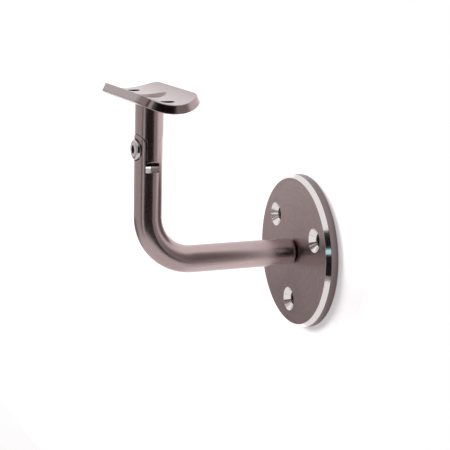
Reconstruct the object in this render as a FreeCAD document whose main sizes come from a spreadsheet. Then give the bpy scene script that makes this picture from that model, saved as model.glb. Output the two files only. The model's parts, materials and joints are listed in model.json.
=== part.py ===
# Handrail bracket: a round wall flange, a bent bar with a forked top, and a saddle plate on a swivel stub.
# Frame in millimetres: the origin is the centre of the flange's back face, the wall lies on +Y, the arm
# reaches out along -Y and turns up along +Z, and the rail runs along X.

import FreeCAD, Part
import Sketcher
import math
import os
from FreeCAD import Vector

doc = FreeCAD.newDocument("HandrailBracket")

driving_sizes = [
    # bent bar
    ("bar_diameter", 14, "round bar of the arm and of the swivel stub"),
    ("arm_reach", 86.6, "wall face to the axis of the upright"),
    ("bend_radius", 23.5, "centreline radius of the bend"),
    ("arm_end_round", 3, "rounding of the bar end that sits on the flange"),
    ("spigot_diameter", 7.6, "turned-down end of the bar, held in the flange"),
    # wall flange
    ("flange_diameter", 80, "outside of the flange"),
    ("flange_thickness", 6.3, "thickness of the flange"),
    ("flange_bevel_width", 1.8, "front bevel, measured across the face"),
    ("flange_bevel_depth", 2.3, "front bevel, measured along the rim"),
    ("wall_hole_circle", 53, "pitch circle of the wall screws"),
    ("wall_hole_count", 3, "wall screws"),
    ("wall_hole_diameter", 6.6, "clearance hole of a wall screw"),
    ("wall_countersink_diameter", 12.4, "mouth of the wall screw's countersink"),
    ("wall_hole_turn", -6, "turn of the hole pattern about the arm, in degrees"),
    # swivel joint
    ("pivot_height", 57, "arm axis to the pivot"),
    ("ear_radius", 7.5, "round top of the fork's ears, about the pivot"),
    ("slot_width", 7, "gap between the ears"),
    ("slot_depth", 10.9, "pivot to the floor of the slot"),
    ("tongue_side_gap", 0.6, "slack between the tongue and the front ear"),
    ("tongue_radius", 8.8, "round end of the tongue, about the pivot"),
    ("shoulder_gap", 0.35, "gap between the ears' tops and the stub's shoulder"),
    ("running_clearance", 0.05, "radial clearance of the tongue's hole on the pivot screw"),
    # screws
    ("thread_diameter", 6, "shank of both screws"),
    ("screw_hole_clearance", 0.2, "radial clearance of a plain screw hole"),
    ("socket_width", 4, "hexagon sockets, across flats"),
    ("pivot_head_diameter", 10.5, "button head"),
    ("pivot_head_height", 2.1, "button head"),
    ("pivot_head_round", 1.7, "rounding of the button head"),
    ("pivot_socket_depth", 1.6, "socket of the pivot screw"),
    ("pivot_end_recess", 0.7, "screw end below the bar's surface at the wall side"),
    ("spot_face_depth", 1, "flat cut into the front ear for the head"),
    ("spot_face_clearance", 0.4, "radial clearance of the flat round the head"),
    ("saddle_screw_length", 14, "countersunk screw, overall"),
    ("saddle_head_diameter", 12.6, "countersunk head"),
    ("saddle_head_recess", 0.9, "head below the lowest line of the rail seat"),
    ("saddle_socket_depth", 2.4, "socket of the countersunk screw"),
    ("thread_run_out", 1, "threaded hole beyond the screw's end"),
    # saddle
    ("saddle_height", 26, "pivot to the lowest line of the rail seat"),
    ("rail_diameter", 50.8, "rail that the seat is pressed for"),
    ("saddle_thickness", 4.4, "plate"),
    ("saddle_width", 28, "plate, across the rail"),
    ("saddle_length", 74, "plate, along the rail"),
    ("saddle_end_bulge", 13.3, "how far the plate's round ends stand out past its straight sides"),
    ("rail_hole_spacing", 49, "the two holes for the rail screws"),
    ("rail_hole_diameter", 6.8, "hole for a rail screw"),
    # finish
    ("edge_break", 0.3, "small bevel on every machined edge"),
]

sheet = doc.addObject("Spreadsheet::Sheet", "Sizes")
for row, (alias, value, note) in enumerate(driving_sizes, start=1):
    sheet.set("A%d" % row, alias)
    sheet.set("B%d" % row, str(value))
    sheet.set("C%d" % row, note)
    sheet.setAlias("B%d" % row, alias)
doc.recompute()


def size(alias):
    return float(sheet.get(alias))


# ---- sketches: every coordinate is a formula on the sheet ----

def attach(body, feature, plane, offset):
    """Lays a feature on one of the body's origin planes, moved along that plane's normal."""
    support = [item for item in body.Origin.OriginFeatures if item.Role == plane][0]
    feature.AttachmentSupport = [(support, "")]
    feature.MapMode = "FlatFace"
    feature.setExpression("AttachmentOffset.Base.z", offset)


def add_sketch(body, name, plane, offset="0"):
    sketch = body.newObject("Sketcher::SketchObject", name)
    attach(body, sketch, plane, offset)
    sketch.Visibility = False
    return sketch


def bind(sketch, constraint, formula):
    index = sketch.addConstraint(constraint)
    sketch.setExpression("Constraints[%d]" % index, formula)


def place_point(sketch, geometry, point, across, up):
    """Fixes a point by its two coordinates, starting from where it was drawn; None leaves one free."""
    drawn = sketch.getPoint(geometry, point)
    for kind, axis, start, formula in (("DistanceX", -2, drawn.x, across), ("DistanceY", -1, drawn.y, up)):
        if formula == "0":
            sketch.addConstraint(Sketcher.Constraint("PointOnObject", geometry, point, axis))
        elif formula is not None:
            bind(sketch, Sketcher.Constraint(kind, -1, 1, geometry, point, start), formula)


def join(sketch, *ends):
    for (first, first_point), (second, second_point) in zip(ends[::2], ends[1::2]):
        sketch.addConstraint(Sketcher.Constraint("Coincident", first, first_point, second, second_point))


def add_circle(sketch, diameter, across="0", up="0"):
    circle = sketch.addGeometry(Part.Circle(Vector(0, 0, 0), Vector(0, 0, 1), 1.0), False)
    place_point(sketch, circle, 3, across, up)
    bind(sketch, Sketcher.Constraint("Diameter", circle, 2.0), diameter)


def add_line(sketch, start, end):
    return sketch.addGeometry(Part.LineSegment(Vector(*start, 0), Vector(*end, 0)), False)


def add_arc(sketch, centre, radius, first_angle, last_angle):
    circle = Part.Circle(Vector(*centre, 0), Vector(0, 0, 1), radius)
    return sketch.addGeometry(Part.ArcOfCircle(circle, first_angle, last_angle), False)


def add_polygon(sketch, corners):
    """A closed outline of straight lines through the corners, each a pair of formulas."""
    turns = [2 * math.pi * i / len(corners) for i in range(len(corners) + 1)]
    start = [(math.cos(turn), math.sin(turn)) for turn in turns]
    lines = [add_line(sketch, a, b) for a, b in zip(start, start[1:])]
    for line, following in zip(lines, lines[1:] + lines[:1]):
        join(sketch, (line, 2), (following, 1))
    for line, (across, up) in zip(lines, corners):
        place_point(sketch, line, 1, across, up)


def add_arch(sketch, centre_up, radius, door_sill):
    """An arched door: half a circle about (0, centre_up) with straight sides down to door_sill."""
    arc = add_arc(sketch, (0, 0), 1, 0, math.pi)
    left = add_line(sketch, (-1, 0), (-1, -1))
    sill = add_line(sketch, (-1, -1), (1, -1))
    right = add_line(sketch, (1, -1), (1, 0))
    join(sketch, (arc, 2), (left, 1), (left, 2), (sill, 1), (sill, 2), (right, 1), (right, 2), (arc, 1))
    place_point(sketch, arc, 3, "0", centre_up)
    bind(sketch, Sketcher.Constraint("Radius", arc, 1.0), radius)
    place_point(sketch, arc, 1, None, centre_up)
    place_point(sketch, arc, 2, None, centre_up)
    place_point(sketch, sill, 1, "-(%s)" % radius, door_sill)
    place_point(sketch, sill, 2, radius, door_sill)


def add_outside_of_arch(sketch, centre_up, radius, side, far, crown):
    """What lies beyond half a circle about (0, centre_up), out to side and far; crown is 1 up or -1 down."""
    first_angle = 0 if crown > 0 else math.pi
    arc = add_arc(sketch, (0, 0), 1, first_angle, first_angle + math.pi)
    turn = [add_line(sketch, (crown * x1, crown * y1), (crown * x2, crown * y2))
            for x1, y1, x2, y2 in ((-1, 0, -2, 0), (-2, 0, -2, 2), (-2, 2, 2, 2), (2, 2, 2, 0), (2, 0, 1, 0))]
    join(sketch, (arc, 2), (turn[0], 1), (turn[4], 2), (arc, 1))
    for line, following in zip(turn, turn[1:]):
        join(sketch, (line, 2), (following, 1))
    place_point(sketch, arc, 3, "0", centre_up)
    bind(sketch, Sketcher.Constraint("Radius", arc, 1.0), radius)
    place_point(sketch, arc, 1, None, centre_up)
    place_point(sketch, arc, 2, None, centre_up)
    near_side, far_side = ("-(%s)" % side, side) if crown > 0 else (side, "-(%s)" % side)
    place_point(sketch, turn[1], 1, near_side, centre_up)
    place_point(sketch, turn[2], 1, near_side, far)
    place_point(sketch, turn[3], 1, far_side, far)
    place_point(sketch, turn[4], 1, far_side, centre_up)


def add_stadium(sketch, half_straight, half_width, bulge):
    """Two straight sides joined by arcs that stand out by bulge beyond them."""
    upper = add_line(sketch, (1, 1), (-1, 1))
    lower = add_line(sketch, (-1, -1), (1, -1))
    right = add_arc(sketch, (1, 0), 1, -math.pi / 2, math.pi / 2)
    left = add_arc(sketch, (-1, 0), 1, math.pi / 2, 3 * math.pi / 2)
    join(sketch, (right, 2), (upper, 1), (upper, 2), (left, 1), (left, 2), (lower, 1), (lower, 2), (right, 1))
    place_point(sketch, upper, 1, half_straight, half_width)
    place_point(sketch, upper, 2, "-(%s)" % half_straight, half_width)
    place_point(sketch, lower, 1, "-(%s)" % half_straight, "-(%s)" % half_width)
    place_point(sketch, lower, 2, half_straight, "-(%s)" % half_width)
    # centre of the arc through the ends of the sides and the tip of the bulge
    inset = "(%s) + ((%s)^2 - (%s)^2) / (2 * (%s))" % (half_straight, bulge, half_width, bulge)
    place_point(sketch, right, 3, inset, None)
    place_point(sketch, left, 3, "-(%s)" % inset, None)


# ---- features ----

def extrude(body, kind, name, sketch, length, reverse=False, both_ways=False):
    """A pad grows along the sketch's normal and a pocket cuts against it, unless reversed."""
    feature = body.newObject("PartDesign::" + kind, name)
    feature.Profile = (sketch, [""])
    feature.Type = "Length"
    feature.SideType = "Symmetric" if both_ways else "One side"
    feature.Reversed = reverse
    feature.setExpression("Length", length)
    doc.recompute()
    return feature


def add_primitive(body, kind, name, plane, offset, **sizes):
    feature = body.newObject("PartDesign::" + kind, name)
    attach(body, feature, plane, offset)
    for key, formula in sizes.items():
        feature.setExpression(key, formula)
    doc.recompute()
    return feature


def dress_edges(body, kind, name, key, formula, wanted):
    """A fillet or chamfer on every edge of the body so far that the test picks."""
    base = body.Tip
    names = ["Edge%d" % (i + 1) for i, edge in enumerate(base.Shape.Edges) if wanted(edge)]
    feature = body.newObject("PartDesign::" + kind, name)
    feature.Base = (base, names)
    feature.setExpression(key, formula)
    doc.recompute()
    return feature


def new_body(name):
    body = doc.addObject("PartDesign::Body", name)
    body.Label = name
    return body


def place_body(body, **formulas):
    for axis, formula in formulas.items():
        body.setExpression("Placement.Base.%s" % axis, formula)


def is_circle(edge, radius):
    return isinstance(edge.Curve, Part.Circle) and abs(edge.Curve.Radius - radius) < 1e-4


# ---- wall flange: a turned disc with a bevelled front and countersunk holes ----

def build_wall_flange():
    body = new_body("wall_flange")
    section = add_sketch(body, "flange_section", "XY_Plane")
    add_polygon(section, [
        ("Sizes.spigot_diameter / 2", "0"),
        ("Sizes.flange_diameter / 2 - Sizes.edge_break", "0"),
        ("Sizes.flange_diameter / 2", "-Sizes.edge_break"),
        ("Sizes.flange_diameter / 2", "-(Sizes.flange_thickness - Sizes.flange_bevel_depth)"),
        ("Sizes.flange_diameter / 2 - Sizes.flange_bevel_width", "-Sizes.flange_thickness"),
        ("Sizes.spigot_diameter / 2", "-Sizes.flange_thickness"),
    ])
    disc = body.newObject("PartDesign::Revolution", "flange_disc")
    disc.Profile = (section, [""])
    disc.ReferenceAxis = (section, ["V_Axis"])
    doc.recompute()

    # the first hole points straight down, and the whole flange is turned by the pattern's own angle
    spot = add_sketch(body, "wall_hole_spot", "XZ_Plane", "Sizes.flange_thickness")
    add_circle(spot, "Sizes.wall_hole_diameter", "0", "-Sizes.wall_hole_circle / 2")
    doc.recompute()
    hole = body.newObject("PartDesign::Hole", "wall_hole")
    hole.Profile = (spot, [""])
    doc.recompute()
    hole.DepthType = "ThroughAll"
    hole.HoleCutType = "Countersink"
    hole.HoleCutCountersinkAngle = 90
    hole.setExpression("Diameter", "Sizes.wall_hole_diameter")
    hole.setExpression("HoleCutDiameter", "Sizes.wall_countersink_diameter")
    doc.recompute()
    ring = body.newObject("PartDesign::PolarPattern", "wall_holes")
    ring.Originals = [hole]
    ring.Axis = ([item for item in body.Origin.OriginFeatures if item.Role == "Y_Axis"][0], [""])
    ring.Angle = 360
    ring.setExpression("Occurrences", "Sizes.wall_hole_count")
    body.Tip = ring
    body.Placement.Rotation = FreeCAD.Rotation(Vector(0, -1, 0), 1)
    body.setExpression("Placement.Rotation.Angle", "Sizes.wall_hole_turn")
    doc.recompute()
    return body


# ---- arm: one bent bar, turned down at the wall and slotted into two round-topped ears at the top ----

def build_arm():
    body = new_body("arm")
    start = add_sketch(body, "bar_section", "XZ_Plane", "Sizes.flange_thickness")
    add_circle(start, "Sizes.bar_diameter")
    route = add_sketch(body, "bar_route", "YZ_Plane")
    reach, bend, wall = size("arm_reach"), size("bend_radius"), size("flange_thickness")
    level = add_line(route, (-wall, 0), (bend - reach, 0))
    curve = add_arc(route, (bend - reach, bend), bend, math.pi, 3 * math.pi / 2)
    upright = add_line(route, (-reach, bend), (-reach, size("pivot_height")))
    route.addConstraint(Sketcher.Constraint("Tangent", level, 2, curve, 2))
    route.addConstraint(Sketcher.Constraint("Tangent", curve, 1, upright, 1))
    place_point(route, level, 1, "-Sizes.flange_thickness", "0")
    route.addConstraint(Sketcher.Constraint("Horizontal", level))
    route.addConstraint(Sketcher.Constraint("Vertical", upright))
    bind(route, Sketcher.Constraint("Radius", curve, bend), "Sizes.bend_radius")
    top = "Sizes.pivot_height + Sizes.ear_radius + Sizes.edge_break"
    place_point(route, upright, 2, "-Sizes.arm_reach", top)
    bar = body.newObject("PartDesign::AdditivePipe", "bent_bar")
    bar.Profile = (start, [""])
    bar.Spine = (route, ["Edge1", "Edge2", "Edge3"])
    doc.recompute()

    radius, wall_face = size("bar_diameter") / 2, -size("flange_thickness")
    dress_edges(body, "Fillet", "rounded_end", "Radius", "Sizes.arm_end_round",
                lambda edge: is_circle(edge, radius) and abs(edge.Curve.Center.y - wall_face) < 1e-4)
    spigot = add_sketch(body, "spigot_section", "XZ_Plane", "Sizes.flange_thickness")
    add_circle(spigot, "Sizes.spigot_diameter")
    extrude(body, "Pad", "spigot", spigot, "Sizes.flange_thickness", reverse=True)

    crown = add_sketch(body, "ear_crown", "XZ_Plane", "Sizes.arm_reach")
    add_outside_of_arch(crown, "Sizes.pivot_height", "Sizes.ear_radius", "Sizes.bar_diameter",
                        "Sizes.pivot_height + Sizes.bar_diameter", 1)
    extrude(body, "Pocket", "ear_crowns", crown, "2 * Sizes.bar_diameter", both_ways=True)

    slot = add_sketch(body, "slot_outline", "YZ_Plane")
    low, high = "Sizes.pivot_height - Sizes.slot_depth", "Sizes.pivot_height + Sizes.bar_diameter"
    near, far = "-(Sizes.arm_reach - Sizes.slot_width / 2)", "-(Sizes.arm_reach + Sizes.slot_width / 2)"
    add_polygon(slot, [(near, high), (far, high), (far, low), (near, low)])
    extrude(body, "Pocket", "slot", slot, "2 * Sizes.bar_diameter", both_ways=True)

    face = add_sketch(body, "spot_face_outline", "XZ_Plane",
                      "Sizes.arm_reach + Sizes.bar_diameter / 2 - Sizes.spot_face_depth")
    add_circle(face, "Sizes.pivot_head_diameter + 2 * Sizes.spot_face_clearance", "0", "Sizes.pivot_height")
    extrude(body, "Pocket", "spot_face", face, "Sizes.bar_diameter", reverse=True)

    thread = add_sketch(body, "thread_outline", "XZ_Plane", "Sizes.arm_reach")
    add_circle(thread, "Sizes.thread_diameter", "0", "Sizes.pivot_height")
    extrude(body, "Pocket", "threaded_ear", thread, "Sizes.bar_diameter", reverse=False)
    plain = add_sketch(body, "plain_hole_outline", "XZ_Plane", "Sizes.arm_reach")
    add_circle(plain, "Sizes.thread_diameter + 2 * Sizes.screw_hole_clearance", "0", "Sizes.pivot_height")
    extrude(body, "Pocket", "plain_ear", plain, "Sizes.bar_diameter", reverse=True)

    ear_radius = size("ear_radius")
    pivot_height = size("pivot_height")

    def on_ear_crown(edge):
        points = [vertex.Point for vertex in edge.Vertexes] + [edge.valueAt(sum(edge.ParameterRange) / 2)]
        return all(abs(math.hypot(point.x, point.z - pivot_height) - ear_radius) < 1e-3 for point in points)

    dress_edges(body, "Chamfer", "ear_edges", "Size", "Sizes.edge_break", on_ear_crown)
    return body


# ---- swivel stub: a piece of the same bar, a tongue below and a hollow seat for the plate above ----

stub_shift = "(Sizes.tongue_side_gap / 2)"
tongue_half = "(Sizes.slot_width - Sizes.tongue_side_gap) / 2"
shoulder_radius = "(Sizes.ear_radius + Sizes.shoulder_gap)"


def build_swivel_stub():
    # its own origin is the pivot, on the stub's axis
    body = new_body("swivel_stub")
    place_body(body, y="-Sizes.arm_reach + " + stub_shift, z="Sizes.pivot_height")
    section = add_sketch(body, "stub_section", "XY_Plane", "-(Sizes.tongue_radius + Sizes.edge_break)")
    add_circle(section, "Sizes.bar_diameter")
    extrude(body, "Pad", "stub_bar", section, "Sizes.tongue_radius + Sizes.edge_break + Sizes.saddle_height")

    tip = add_sketch(body, "tongue_tip", "XZ_Plane")
    beyond = "2 * Sizes.bar_diameter"
    add_outside_of_arch(tip, "0", "Sizes.tongue_radius", beyond, "-" + beyond, -1)
    extrude(body, "Pocket", "round_tongue", tip, "2 * Sizes.bar_diameter", both_ways=True)

    for side, direction, outward in (("front", "", True), ("wall", "-", False)):
        cheek = add_sketch(body, side + "_cheek_outline", "XZ_Plane", "%s(%s)" % (direction, tongue_half))
        add_arch(cheek, "0", shoulder_radius, "-2 * Sizes.bar_diameter")
        extrude(body, "Pocket", side + "_cheek", cheek, "Sizes.bar_diameter", reverse=outward)

    eye = add_sketch(body, "eye_outline", "XZ_Plane")
    add_circle(eye, "Sizes.thread_diameter + 2 * Sizes.running_clearance")
    extrude(body, "Pocket", "eye", eye, "2 * Sizes.bar_diameter", both_ways=True)

    seat = add_sketch(body, "seat_outline", "YZ_Plane")
    add_circle(seat, "Sizes.rail_diameter + 2 * Sizes.saddle_thickness",
               "0", "Sizes.saddle_height + Sizes.rail_diameter / 2")
    extrude(body, "Pocket", "seat", seat, "2 * Sizes.bar_diameter", both_ways=True)

    thread = add_sketch(body, "saddle_thread_outline", "XY_Plane", "Sizes.saddle_height")
    add_circle(thread, "Sizes.thread_diameter")
    extrude(body, "Pocket", "saddle_thread", thread,
            "Sizes.saddle_head_recess + Sizes.saddle_screw_length + Sizes.thread_run_out")
    return body


# ---- pivot screw: button head on the front ear, shank through the tongue, end in the wall-side ear ----

def build_pivot_screw():
    body = new_body("pivot_screw")
    place_body(body, y="-Sizes.arm_reach", z="Sizes.pivot_height")
    seat = "(Sizes.bar_diameter / 2 - Sizes.spot_face_depth)"
    shank = add_sketch(body, "pivot_shank_outline", "XZ_Plane", seat)
    add_circle(shank, "Sizes.thread_diameter")
    extrude(body, "Pad", "pivot_shank", shank,
            seat + " + Sizes.bar_diameter / 2 - Sizes.pivot_end_recess", reverse=True)
    end_circle = size("thread_diameter") / 2
    dress_edges(body, "Chamfer", "pivot_end", "Size", "2 * Sizes.edge_break",
                lambda edge: is_circle(edge, end_circle) and edge.Curve.Center.y > 0)
    head = add_sketch(body, "pivot_head_outline", "XZ_Plane", seat)
    add_circle(head, "Sizes.pivot_head_diameter")
    extrude(body, "Pad", "pivot_head", head, "Sizes.pivot_head_height")
    head_radius = size("pivot_head_diameter") / 2
    seat_at = size("spot_face_depth") - size("bar_diameter") / 2
    dress_edges(body, "Fillet", "pivot_dome", "Radius", "Sizes.pivot_head_round",
                lambda edge: is_circle(edge, head_radius) and edge.Curve.Center.y < seat_at - 1e-3)
    socket = add_primitive(body, "SubtractivePrism", "pivot_socket", "XZ_Plane",
                           seat + " + Sizes.pivot_head_height - Sizes.pivot_socket_depth",
                           Circumradius="Sizes.socket_width / sqrt(3)", Height="2 * Sizes.pivot_socket_depth")
    socket.Polygon = 6
    return body


# ---- saddle plate: a blank with round ends, pressed round the rail, rims pointing at the rail's axis ----

rim_angle = "asin(Sizes.saddle_width / Sizes.rail_diameter)"
head_cone_height = "((Sizes.saddle_head_diameter - Sizes.thread_diameter) / 2)"
head_cone_bottom = "-(Sizes.saddle_head_recess + %s)" % head_cone_height


def place_on_saddle(body):
    # the origin is the middle of the seat's lowest line
    place_body(body, y="-Sizes.arm_reach + " + stub_shift, z="Sizes.pivot_height + Sizes.saddle_height")


def build_saddle_plate():
    body = new_body("saddle_plate")
    place_on_saddle(body)
    # the blank's outline at two levels, given as depths below the rail's axis, widens with the depth
    levels = ("Sizes.rail_diameter / 2 * cos(%s) - Sizes.saddle_thickness" % rim_angle,
              "Sizes.rail_diameter / 2 + 2 * Sizes.saddle_thickness")
    outlines = []
    for name, depth in zip(("upper_outline", "lower_outline"), levels):
        outline = add_sketch(body, name, "XY_Plane", "Sizes.rail_diameter / 2 - (%s)" % depth)
        add_stadium(outline, "(Sizes.saddle_length / 2 - Sizes.saddle_end_bulge)",
                    "(%s) * tan(%s)" % (depth, rim_angle), "Sizes.saddle_end_bulge")
        outlines.append(outline)
    blank = body.newObject("PartDesign::AdditiveLoft", "blank")
    blank.Profile = (outlines[0], [""])
    blank.Sections = [(outlines[1], [""])]
    blank.Ruled = True
    doc.recompute()

    seat = add_sketch(body, "rail_outline", "YZ_Plane")
    add_circle(seat, "Sizes.rail_diameter", "0", "Sizes.rail_diameter / 2")
    extrude(body, "Pocket", "rail_seat", seat, "2 * Sizes.saddle_length", both_ways=True)
    below = add_sketch(body, "underside_outline", "YZ_Plane")
    add_circle(below, "Sizes.rail_diameter + 2 * Sizes.saddle_thickness", "0", "Sizes.rail_diameter / 2")
    add_circle(below, "2 * Sizes.rail_diameter", "0", "Sizes.rail_diameter / 2")
    extrude(body, "Pocket", "underside", below, "2 * Sizes.saddle_length", both_ways=True)

    inner, outer = size("rail_diameter") / 2, size("rail_diameter") / 2 + size("saddle_thickness")

    def on_rim(edge):
        middle = edge.valueAt(sum(edge.ParameterRange) / 2)
        from_axis = math.hypot(middle.y, middle.z - inner)
        return min(abs(from_axis - inner), abs(from_axis - outer)) < 1e-3

    dress_edges(body, "Chamfer", "rims", "Size", "Sizes.edge_break", on_rim)

    holes = add_sketch(body, "rail_holes_outline", "XY_Plane")
    for sign in ("", "-"):
        add_circle(holes, "Sizes.rail_hole_diameter", sign + "Sizes.rail_hole_spacing / 2", "0")
    extrude(body, "Pocket", "rail_holes", holes, "4 * Sizes.saddle_thickness", both_ways=True)
    middle = add_sketch(body, "saddle_hole_outline", "XY_Plane")
    add_circle(middle, "Sizes.thread_diameter + 2 * Sizes.screw_hole_clearance")
    extrude(body, "Pocket", "saddle_hole", middle, "4 * Sizes.saddle_thickness", both_ways=True)
    # the screw's own cone, carried on upwards until it leaves the curved seat
    add_primitive(body, "SubtractiveCone", "saddle_countersink", "XY_Plane", head_cone_bottom,
                  Radius1="Sizes.thread_diameter / 2",
                  Radius2="Sizes.saddle_head_diameter / 2 + Sizes.saddle_head_recess + Sizes.saddle_thickness",
                  Height="%s + Sizes.saddle_head_recess + Sizes.saddle_thickness" % head_cone_height)
    return body


def build_saddle_screw():
    body = new_body("saddle_screw")
    place_on_saddle(body)
    shank = add_sketch(body, "saddle_shank_outline", "XY_Plane", head_cone_bottom)
    add_circle(shank, "Sizes.thread_diameter")
    extrude(body, "Pad", "saddle_shank", shank, "Sizes.saddle_screw_length - " + head_cone_height, reverse=True)
    end_radius, head_bottom = size("thread_diameter") / 2, body.Tip.Shape.BoundBox.ZMax
    dress_edges(body, "Chamfer", "saddle_screw_end", "Size", "2 * Sizes.edge_break",
                lambda edge: is_circle(edge, end_radius) and edge.Curve.Center.z < head_bottom - 1)
    add_primitive(body, "AdditiveCone", "saddle_head", "XY_Plane", head_cone_bottom,
                  Radius1="Sizes.thread_diameter / 2", Radius2="Sizes.saddle_head_diameter / 2",
                  Height=head_cone_height)
    socket = add_primitive(body, "SubtractivePrism", "saddle_socket", "XY_Plane",
                           "-(Sizes.saddle_head_recess + Sizes.saddle_socket_depth)",
                           Circumradius="Sizes.socket_width / sqrt(3)", Height="2 * Sizes.saddle_socket_depth")
    socket.Polygon = 6
    return body


sub_parts = [
    build_wall_flange(),
    build_arm(),
    build_pivot_screw(),
    build_swivel_stub(),
    build_saddle_plate(),
    build_saddle_screw(),
]
doc.recompute()

faults = [item.Name for item in doc.Objects if "Invalid" in item.State or "Error" in item.State]
faults += [part.Label for part in sub_parts if part.Shape.isNull() or not part.Shape.isValid()]
faults += [part.Label for part in sub_parts if len(part.Shape.Solids) != 1]
if faults:
    raise SystemExit("these did not build: " + ", ".join(faults))

os.makedirs("parts", exist_ok=True)
for part in sub_parts:
    part.Shape.exportStep("parts/%s.step" % part.Label)
    box = part.Shape.BoundBox
    print("%-14s %9.1f mm3  x %.2f..%.2f  y %.2f..%.2f  z %.2f..%.2f" % (
        part.Label, part.Shape.Volume, box.XMin, box.XMax, box.YMin, box.YMax, box.ZMin, box.ZMax))
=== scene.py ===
# Satin stainless handrail bracket on a white wall.
# Metres, +Z up: the wall is the plane y = 0, the arm reaches out along -Y, the rail would lie along X.
import json
import math

import bpy
import numpy as np
from mathutils import Matrix, Vector


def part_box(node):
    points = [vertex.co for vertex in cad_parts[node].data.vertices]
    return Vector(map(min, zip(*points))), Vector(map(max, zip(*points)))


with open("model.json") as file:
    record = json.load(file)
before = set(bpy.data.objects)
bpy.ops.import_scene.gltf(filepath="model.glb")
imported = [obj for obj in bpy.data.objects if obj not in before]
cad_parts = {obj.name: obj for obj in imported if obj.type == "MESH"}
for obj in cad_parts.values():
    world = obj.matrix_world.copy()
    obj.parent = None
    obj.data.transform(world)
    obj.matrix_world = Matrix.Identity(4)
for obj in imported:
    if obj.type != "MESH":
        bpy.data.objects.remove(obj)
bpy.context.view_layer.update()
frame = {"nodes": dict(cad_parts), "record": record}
nodes = frame["nodes"]
print("frame loaded:", ", ".join(sorted(nodes)))


def newMaterial(name):
    material = bpy.data.materials.new(name)
    material.use_nodes = True
    tree = material.node_tree
    return material, tree, tree.nodes["Principled BSDF"]


def addNode(tree, kind, inputs=None, **settings):
    node = tree.nodes.new("ShaderNode" + kind)
    for key, value in settings.items():
        setattr(node, key, value)
    for key, value in (inputs or {}).items():
        if isinstance(value, bpy.types.NodeSocket):
            tree.links.new(value, node.inputs[key])
        else:
            node.inputs[key].default_value = value
    return node


def compute(tree, operation, a, b=0.0):
    return addNode(tree, "Math", {0: a, 1: b}, operation=operation).outputs[0]


def distanceFrom(tree, a, b):
    return compute(tree, "SQRT", compute(tree, "ADD", compute(tree, "POWER", a, 2.0), compute(tree, "POWER", b, 2.0)))


def between(tree, value, low, high):
    # 1 where the value lies between the two limits, else 0
    return compute(tree, "MULTIPLY", compute(tree, "GREATER_THAN", value, low), compute(tree, "LESS_THAN", value, high))


mounts = {mount["name"]: mount for mount in frame["record"]["mounts"]}
# metres, as the solids have them
measures = {
    "seatRadius": 0.0254,        # the saddle's upper face, about the rail's axis
    "undersideRadius": 0.0298,   # the saddle's lower face, about the same axis
    "railHoleRadius": 0.00345,   # a little over the rail screws' holes
    "socketRadius": 0.00235,     # a little over a hexagon's corners
    "slotFloor": 0.0461,         # height of the knuckle slot's floor
    "barBehindHead": 0.0081,     # from the pivot head's face back to the bar's axis
    "slotReach": 0.0069,         # across the bar, just inside its surface
    "slotHalfWidth": 0.0034,     # half the slot, just inside its walls
}
railAxis = Vector(mounts["rail_seat"]["pos_m"]) + Vector((0, 0, measures["seatRadius"]))
holeSpacing = mounts["rail_screws"]["dims"]["spacing_x_mm"] / 1000

# fresh and machined are the colour and roughness of turned bevels, holes and rims; the rest is for the satin faces
steel = {
    "flange": dict(color=(0.45, 0.365, 0.365), roughness=0.32, spread=0.04, depth=0.10, edge=0.0003,
                   fresh=(0.76, 0.72, 0.715), machined=0.09),
    "bar": dict(color=(0.43, 0.34, 0.34), roughness=0.25, spread=0.03, depth=0.03, edge=0.00025),
    "plate": dict(color=(0.355, 0.295, 0.297), roughness=0.26, spread=0.03, depth=0.03, edge=0.0002,
                  fresh=(0.32, 0.255, 0.255), machined=0.19),
    "screw": dict(color=(0.60, 0.56, 0.555), roughness=0.12, spread=0.02, depth=0.01, edge=0.0002),
}
grains = {"turnedAcross": 1300.0, "turnedAlong": 5.0, "turnedDeep": 900.0, "fine": 2600.0, "clouds": 90.0}
# painted shade: colour and reach of the darkening put into gaps and sockets
creviceShade = {"color": (0.02, 0.016, 0.015), "reach": 0.0009, "full": 0.1, "none": 0.68}
# painted shade on the knuckle slot's floor: the cutter's rings set how dark it is, and past shadedTo it is darkest
swirlAndShade = {"ringsPerMetre": 6500.0, "contrast": 0.25, "level": 0.5, "shadedTo": -0.0012}
skin = 0.00003     # keeps a pattern's limit off the face beside it


def turnedGrain(tree, place, axes):
    # noise stretched along the circles about the Y axis
    radius = distanceFrom(tree, axes.outputs["X"], axes.outputs["Z"])
    turn = compute(tree, "ARCTAN2", axes.outputs["Z"], axes.outputs["X"])
    stretched = addNode(tree, "CombineXYZ", {0: compute(tree, "MULTIPLY", radius, grains["turnedAcross"]),
                                             1: compute(tree, "MULTIPLY", turn, grains["turnedAlong"]),
                                             2: compute(tree, "MULTIPLY", axes.outputs["Y"], grains["turnedDeep"])})
    return addNode(tree, "TexNoise", {"Vector": stretched.outputs[0], "Scale": 1.0, "Detail": 2.0}).outputs["Fac"]


def fineGrain(tree, place, axes):
    # tiny even specks, as blasting leaves them
    return addNode(tree, "TexNoise", {"Vector": place, "Scale": grains["fine"], "Detail": 2.0}).outputs["Fac"]


def flangeMachined(tree, axes):
    # bevel and holes: behind the front face, before the back face and inside the rim
    low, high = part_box("wall_flange")
    radius = distanceFrom(tree, axes.outputs["X"], axes.outputs["Z"])
    return compute(tree, "MULTIPLY", between(tree, axes.outputs["Y"], low[1] + 0.00002, -0.00002),
                   compute(tree, "LESS_THAN", radius, high[0] - skin))


def plateMachined(tree, axes):
    # rims and holes: between the two cylinders about the rail's axis that the plate is pressed to
    radius = distanceFrom(tree, compute(tree, "SUBTRACT", axes.outputs["Y"], railAxis.y),
                          compute(tree, "SUBTRACT", axes.outputs["Z"], railAxis.z))
    return between(tree, radius, measures["seatRadius"] + 0.00005, measures["undersideRadius"] - 0.00005)


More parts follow.
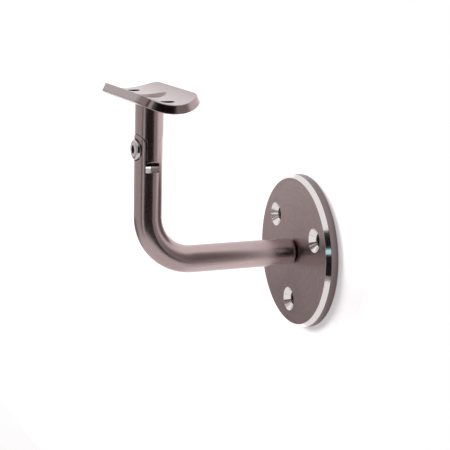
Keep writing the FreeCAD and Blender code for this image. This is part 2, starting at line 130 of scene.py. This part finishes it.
def flangeRimShade(tree, axes):
    # painted shade and reflection: the rim is darkened to stand for the shadowed wall it mirrors
    low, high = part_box("wall_flange")
    radius = distanceFrom(tree, axes.outputs["X"], axes.outputs["Z"])
    return compute(tree, "GREATER_THAN", radius, high[0] - skin)


def railHoleShade(tree, axes):
    # painted shade inside the rail screws' holes, on both sides of the middle
    fromHole = compute(tree, "SUBTRACT", compute(tree, "ABSOLUTE", axes.outputs["X"]), holeSpacing / 2)
    across = compute(tree, "SUBTRACT", axes.outputs["Y"], railAxis.y)
    return compute(tree, "LESS_THAN", distanceFrom(tree, fromHole, across), measures["railHoleRadius"])


def socketShade(tree, axes):
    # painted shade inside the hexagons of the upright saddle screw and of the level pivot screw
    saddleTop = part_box("saddle_screw")[1][2]
    pivotLow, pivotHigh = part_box("pivot_screw")
    pivotUp = (pivotLow[2] + pivotHigh[2]) / 2
    fromSaddle = distanceFrom(tree, axes.outputs["X"], compute(tree, "SUBTRACT", axes.outputs["Y"], railAxis.y))
    fromPivot = distanceFrom(tree, axes.outputs["X"], compute(tree, "SUBTRACT", axes.outputs["Z"], pivotUp))
    socket = measures["socketRadius"]
    inSaddle = compute(tree, "MULTIPLY", compute(tree, "LESS_THAN", fromSaddle, socket),
                       between(tree, axes.outputs["Z"], saddleTop - 0.003, saddleTop - 0.00005))
    inPivot = compute(tree, "MULTIPLY", compute(tree, "LESS_THAN", fromPivot, socket),
                      between(tree, axes.outputs["Y"], pivotLow[1] + 0.00005, pivotLow[1] + 0.002))
    return compute(tree, "MAXIMUM", inSaddle, inPivot)


def slotSwirlAndShade(tree, axes):
    # rings that the cutter left on the floor of the knuckle's slot, inside the bar, which vary the painted shade that
    # darkens the floor, and the back part painted darkest as shadow
    floorHeight, half = measures["slotFloor"], measures["slotHalfWidth"]
    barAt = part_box("pivot_screw")[0][1] + measures["barBehindHead"]
    back = compute(tree, "SUBTRACT", axes.outputs["Y"], barAt)
    inBar = compute(tree, "LESS_THAN", distanceFrom(tree, axes.outputs["X"], back), measures["slotReach"])
    inside = compute(tree, "MULTIPLY", inBar, compute(tree, "LESS_THAN", compute(tree, "ABSOLUTE", back), half))
    onFloor = compute(tree, "MULTIPLY", inside,
                      between(tree, axes.outputs["Z"], floorHeight - 0.0001, floorHeight + 0.0001))
    fromTurn = distanceFrom(tree, axes.outputs["X"], compute(tree, "ADD", back, half))
    rings = compute(tree, "SINE", compute(tree, "MULTIPLY", fromTurn, swirlAndShade["ringsPerMetre"]))
    dullAndShaded = compute(tree, "ADD", compute(tree, "MULTIPLY", rings, swirlAndShade["contrast"]), swirlAndShade["level"])
    # painted shade: the back of the floor, deeper in the slot, is darkest
    shaded = compute(tree, "MAXIMUM", dullAndShaded, compute(tree, "GREATER_THAN", back, swirlAndShade["shadedTo"]))
    return compute(tree, "MULTIPLY", onFloor, shaded)


machinedParts = {"flange": flangeMachined, "plate": plateMachined}
# each finish's part darkened as painted shade (the bar's partly by the cutter's rings), and the share of its colour
# that is left there
paintedShadeParts = {"flange": (flangeRimShade, 0.42), "plate": (railHoleShade, 0.2), "screw": (socketShade, 0.5),
             "bar": (slotSwirlAndShade, 0.12)}


def makeSteel(name, color, roughness, spread, depth, edge, fresh=None, machined=None):
    material, tree, shader = newMaterial(name + "Steel")
    place = addNode(tree, "TexCoord").outputs["Object"]
    axes = addNode(tree, "SeparateXYZ", {0: place})
    grain = (turnedGrain if name == "flange" else fineGrain)(tree, place, axes)
    clouds = addNode(tree, "TexNoise", {"Vector": place, "Scale": grains["clouds"], "Detail": 3.0}).outputs["Fac"]
    rough = compute(tree, "ADD", compute(tree, "MULTIPLY", compute(tree, "SUBTRACT", clouds, 0.5), spread * 2),
                    roughness)
    streaks = addNode(tree, "MapRange", {"Value": grain, "From Min": 0.35, "From Max": 0.65, "To Max": 0.5}).outputs[0]
    tone = addNode(tree, "MixRGB", {"Fac": streaks, "Color1": (*color, 1),
                                    "Color2": (*[c * 0.75 for c in color], 1)}).outputs[0]
    strength = depth
    if name in machinedParts:
        # a fresh cut is smoother and brighter than the satin faces
        smooth = machinedParts[name](tree, axes)
        rough = addNode(tree, "MapRange", {"Value": smooth, "To Min": rough, "To Max": machined}).outputs[0]
        strength = addNode(tree, "MapRange", {"Value": smooth, "To Min": depth, "To Max": 0.0}).outputs[0]
        tone = addNode(tree, "MixRGB", {"Fac": smooth, "Color1": tone, "Color2": (*fresh, 1)}).outputs[0]
    # painted shade: the shaded part of each finish keeps only a share of its colour
    shadedWhere, share = paintedShadeParts[name]
    tone = addNode(tree, "MixRGB", {"Fac": shadedWhere(tree, axes), "Color1": tone,
                                    "Color2": (*[c * share for c in color], 1)}).outputs[0]
    if name == "flange":
        # the face is turned, so its shine spreads across the circles
        shader.inputs["Anisotropic"].default_value = 0.5
        around = addNode(tree, "Tangent", direction_type="RADIAL", axis="Y")
        tree.links.new(around.outputs[0], shader.inputs["Tangent"])
    tree.links.new(rough, shader.inputs["Roughness"])
    # gaps and sockets are darkened as painted shade, but not the face on the wall
    openness = addNode(tree, "AmbientOcclusion", {"Distance": creviceShade["reach"]}, samples=6,
                       only_local=name == "flange").outputs["AO"]
    unshaded = addNode(tree, "MapRange", {"Value": openness, "From Min": creviceShade["full"],
                                       "From Max": creviceShade["none"]}).outputs[0]
    unshaded = compute(tree, "MAXIMUM", unshaded, compute(tree, "GREATER_THAN", axes.outputs["Y"], -0.0002))
    creviceShaded = addNode(tree, "MixRGB", {"Fac": unshaded, "Color1": (*creviceShade["color"], 1), "Color2": tone})
    tree.links.new(creviceShaded.outputs[0], shader.inputs["Base Color"])
    shader.inputs["Metallic"].default_value = 1.0
    rounded = addNode(tree, "Bevel", {"Radius": edge}, samples=4)
    bump = addNode(tree, "Bump", {"Height": grain, "Strength": strength, "Distance": 0.00005,
                                  "Normal": rounded.outputs[0]})
    tree.links.new(bump.outputs[0], shader.inputs["Normal"])
    return material


finishes = {name: makeSteel(name, **values) for name, values in steel.items()}
finishOf = dict(wall_flange="flange", arm="bar", swivel_stub="bar", saddle_plate="plate",
                pivot_screw="screw", saddle_screw="screw")
for nodeName, finish in finishOf.items():
    piece = nodes[nodeName]
    piece.data.materials.clear()
    piece.data.materials.append(finishes[finish])
print("steel finishes on", len(finishOf), "nodes")

# a white board behind the flange with black discs of painted shade where the wall screws' pilot holes are, over a white
# floor
surroundings = {
    "wallGap": 0.0004,
    "wallFrom": (-2.0, -0.30),
    "wallTo": (0.10, 2.0),
    "wallFade": (0.052, 0.095),
    "floorDrop": 0.30,
    "floorSize": 0.8,
    "floorFade": (0.35, 0.75),
    "paint": (0.8, 0.8, 0.8),
    "glow": (0.26, 0.25, 0.255),     # what eyes, mirrors and glass see on top of the lit paint
    "pilotHoleTurn": 24,             # degrees from +X towards +Z, to the first of the three
    "pilotHoleRadius": 0.0034,
}


def makeStageFace(name, corners, material):
    mesh = bpy.data.meshes.new(name)
    mesh.from_pydata(corners, [], [tuple(range(len(corners)))])
    mesh.materials.append(material)
    face = bpy.data.objects.new(name, mesh)
    bpy.context.scene.collection.objects.link(face)


def makeWhitePaint(name, oneSided, along, fade):
    # the paint thins out between the two distances, from the middle or along X
    material, tree, shader = newMaterial(name)
    output = tree.nodes["Material Output"]
    tree.nodes.remove(shader)
    paint = addNode(tree, "BsdfDiffuse", {"Color": (*surroundings["paint"], 1)})
    glow = addNode(tree, "Emission", {"Color": (*surroundings["glow"], 1), "Strength": 1.0})
    white = addNode(tree, "AddShader", {0: paint.outputs[0], 1: glow.outputs[0]})
    path = addNode(tree, "LightPath")
    seen = compute(tree, "MAXIMUM", path.outputs["Is Camera Ray"],
                   compute(tree, "MAXIMUM", path.outputs["Is Glossy Ray"], path.outputs["Is Transmission Ray"]))
    if oneSided:
        behind = addNode(tree, "NewGeometry").outputs["Backfacing"]
        seen = compute(tree, "MULTIPLY", seen, compute(tree, "SUBTRACT", 1.0, behind))
    axes = addNode(tree, "SeparateXYZ", {0: addNode(tree, "TexCoord").outputs["Object"]})
    away = axes.outputs["X"] if along == "X" else distanceFrom(tree, axes.outputs["X"], axes.outputs["Y"])
    thin = addNode(tree, "MapRange", {"Value": away, "From Min": fade[0], "From Max": fade[1], "To Min": 1.0,
                                      "To Max": 0.0}, interpolation_type="SMOOTHSTEP").outputs[0]
    clear = addNode(tree, "BsdfTransparent")
    mix = addNode(tree, "MixShader", {"Fac": compute(tree, "MULTIPLY", seen, thin), 1: clear.outputs[0],
                                      2: white.outputs[0]})
    tree.links.new(mix.outputs[0], output.inputs["Surface"])
    return material


def makePilotHoleShade():
    # painted shade: a black disc, seen from the front only, stands for the shadowed pilot hole
    material, tree, shader = newMaterial("pilotHole")
    output = tree.nodes["Material Output"]
    tree.nodes.remove(shader)
    holeShade = addNode(tree, "BsdfDiffuse", {"Color": (0.015, 0.012, 0.012, 1)})
    clear = addNode(tree, "BsdfTransparent")
    behind = addNode(tree, "NewGeometry").outputs["Backfacing"]
    mix = addNode(tree, "MixShader", {"Fac": behind, 1: holeShade.outputs[0], 2: clear.outputs[0]})
    tree.links.new(mix.outputs[0], output.inputs["Surface"])
    return material


gap, drop, size = surroundings["wallGap"], surroundings["floorDrop"], surroundings["floorSize"]
(left, low), (right, high) = surroundings["wallFrom"], surroundings["wallTo"]
makeStageFace("wall", [(left, gap, low), (right, gap, low), (right, gap, high), (left, gap, high)],
              makeWhitePaint("wallPaint", True, "X", surroundings["wallFade"]))
makeStageFace("floor", [(-size, -size, -drop), (size, -size, -drop), (size, 0, -drop), (-size, 0, -drop)],
              makeWhitePaint("floorPaint", False, "middle", surroundings["floorFade"]))
holeShade = makePilotHoleShade()
circle = mounts["wall_screws"]["dims"]
angles = np.linspace(0, 2 * np.pi, 48, endpoint=False)
for number in range(circle["count"]):
    # a black disc of pilot-hole radius on the wall side of each screw hole, painted shade for the hole's depth
    turn = math.radians(surroundings["pilotHoleTurn"] + 360 * number / circle["count"])
    middle = np.array((math.cos(turn), 0, math.sin(turn))) * circle["pcd_mm"] / 2000 + (0, gap / 2, 0)
    rim = middle + surroundings["pilotHoleRadius"] * np.stack((np.cos(angles), angles * 0, np.sin(angles)), axis=1)
    makeStageFace("pilotHole%d" % (number + 1), rim.tolist(), holeShade)
print("wall, floor and", circle["count"], "pilot holes made")

# turn is measured from the -Y side towards +X, rise from the horizon; one broad light from the left, which only lights
# the painted faces and throws the shadow on the wall
wallLight = {"turn": -49, "rise": 17, "strength": 4.1, "spread": 34, "color": (1.0, 0.98, 0.985)}
# grey and black cards that stand round the object, seen in the metal only: each is a patch of a sphere between
# two turns and two rises
cards = {
    "leftCard": dict(turn=(-105, -38), rise=(-12, 10), away=1.7, shade=(0.76, 0.70, 0.70)),
    "lowCard": dict(turn=(-105, -38), rise=(-50, -12), away=1.7, shade=(0.31, 0.27, 0.275)),
    "frontCard": dict(turn=(-38, 10), rise=(-50, 42), away=1.7, shade=(0.66, 0.62, 0.62)),
    "slimCard": dict(turn=(10, 22), rise=(-50, 42), away=1.7, shade=(0.12, 0.10, 0.10)),
    "blackCard": dict(turn=(34, 106), rise=(-30, 42), away=1.7, shade=(0.012, 0.010, 0.010)),
    "rightCard": dict(turn=(106, 150), rise=(-30, 0), away=1.7, shade=(0.48, 0.44, 0.44)),
    "lowRightCard": dict(turn=(106, 150), rise=(-52, -30), away=1.7, shade=(0.80, 0.75, 0.75)),
    "upperRightCard": dict(turn=(106, 150), rise=(0, 54), away=1.7, shade=(0.30, 0.27, 0.27)),
    "windowCard": dict(turn=(35.5, 43), rise=(2.5, 8.5), away=1.6, shade=(0.62, 0.95, 1.0)),
}
cardGrid = 25                      # points along each side of a card
plainLevel = (0.5, 0.48, 0.48)     # what lights the painted faces from all round


def direction(turn, rise):
    turn, rise = math.radians(turn), math.radians(rise)
    return Vector((math.sin(turn) * math.cos(rise), -math.cos(turn) * math.cos(rise), math.sin(rise)))


light = bpy.data.lights.new("wallLight", "SUN")
light.energy, light.color, light.angle = wallLight["strength"], wallLight["color"], math.radians(wallLight["spread"])
lamp = bpy.data.objects.new("wallLight", light)
lamp.location = 2 * direction(wallLight["turn"], wallLight["rise"])
lamp.rotation_euler = (-lamp.location).to_track_quat("-Z", "Y").to_euler()
lamp.visible_glossy = False
bpy.context.scene.collection.objects.link(lamp)


def makeCard(name, turn, rise, away, shade):
    # a point of the sphere for each turn and rise on a grid, about the middle of the flange
    turns, rises = np.meshgrid(np.radians(np.linspace(*turn, cardGrid)), np.radians(np.linspace(*rise, cardGrid)))
    points = away * np.stack((np.sin(turns) * np.cos(rises), -np.cos(turns) * np.cos(rises), np.sin(rises)), axis=-1)
    corner = np.arange(cardGrid * (cardGrid - 1)).reshape(cardGrid - 1, cardGrid)[:, :-1].ravel()
    quads = np.stack((corner, corner + 1, corner + cardGrid + 1, corner + cardGrid), axis=1)
    mesh = bpy.data.meshes.new(name)
    mesh.from_pydata(points.reshape(-1, 3).tolist(), [], quads.tolist())
    material, tree, shader = newMaterial(name + "Paint")
    tree.nodes.remove(shader)
    glow = addNode(tree, "Emission", {"Color": (*shade, 1), "Strength": 1.0})
    tree.links.new(glow.outputs[0], tree.nodes["Material Output"].inputs["Surface"])
    mesh.materials.append(material)
    card = bpy.data.objects.new(name, mesh)
    card.visible_camera = card.visible_diffuse = card.visible_shadow = False
    bpy.context.scene.collection.objects.link(card)


for name, card in cards.items():
    makeCard(name, **card)

world = bpy.data.worlds.new("studio")
bpy.context.scene.world = world
world.use_nodes = True
sky = world.node_tree
plain = sky.nodes["Background"]
plain.inputs["Color"].default_value = (*plainLevel, 1)
white = addNode(sky, "Background", {"Color": (1, 1, 1, 1), "Strength": 1.0})
path = addNode(sky, "LightPath")
seen = compute(sky, "MAXIMUM", path.outputs["Is Camera Ray"],
               compute(sky, "MAXIMUM", path.outputs["Is Glossy Ray"], path.outputs["Is Transmission Ray"]))
choose = addNode(sky, "MixShader", {"Fac": seen, 1: plain.outputs[0], 2: white.outputs[0]})
sky.links.new(choose.outputs[0], sky.nodes["World Output"].inputs["Surface"])
print("white surroundings with", len(cards), "cards")

view = {
    "place": (0.63174, -0.31562, 0.16198),
    "azimuth": 66.8,
    "elevation": 11.97,
    "roll": 1.32,
    "lens": 110.64,
}


def aimCamera(place, azimuth, elevation, roll, lens):
    # back points from the object to the camera; roll turns the picture about it
    a, e, r = math.radians(azimuth), math.radians(elevation), math.radians(roll)
    back = Vector((math.sin(a) * math.cos(e), -math.cos(a) * math.cos(e), math.sin(e)))
    right = Vector((math.cos(a), math.sin(a), 0))
    up = back.cross(right)
    turned = Matrix((math.cos(r) * right + math.sin(r) * up, math.cos(r) * up - math.sin(r) * right, back)).transposed()
    data = bpy.data.cameras.new("camera")
    data.lens = lens
    data.sensor_width = 36
    data.clip_start, data.clip_end = 0.01, 20
    camera = bpy.data.objects.new("camera", data)
    camera.matrix_world = Matrix.Translation(place) @ turned.to_4x4()
    bpy.context.scene.collection.objects.link(camera)
    bpy.context.scene.camera = camera


aimCamera(**view)
bpy.context.scene.view_settings.view_transform = "Standard"
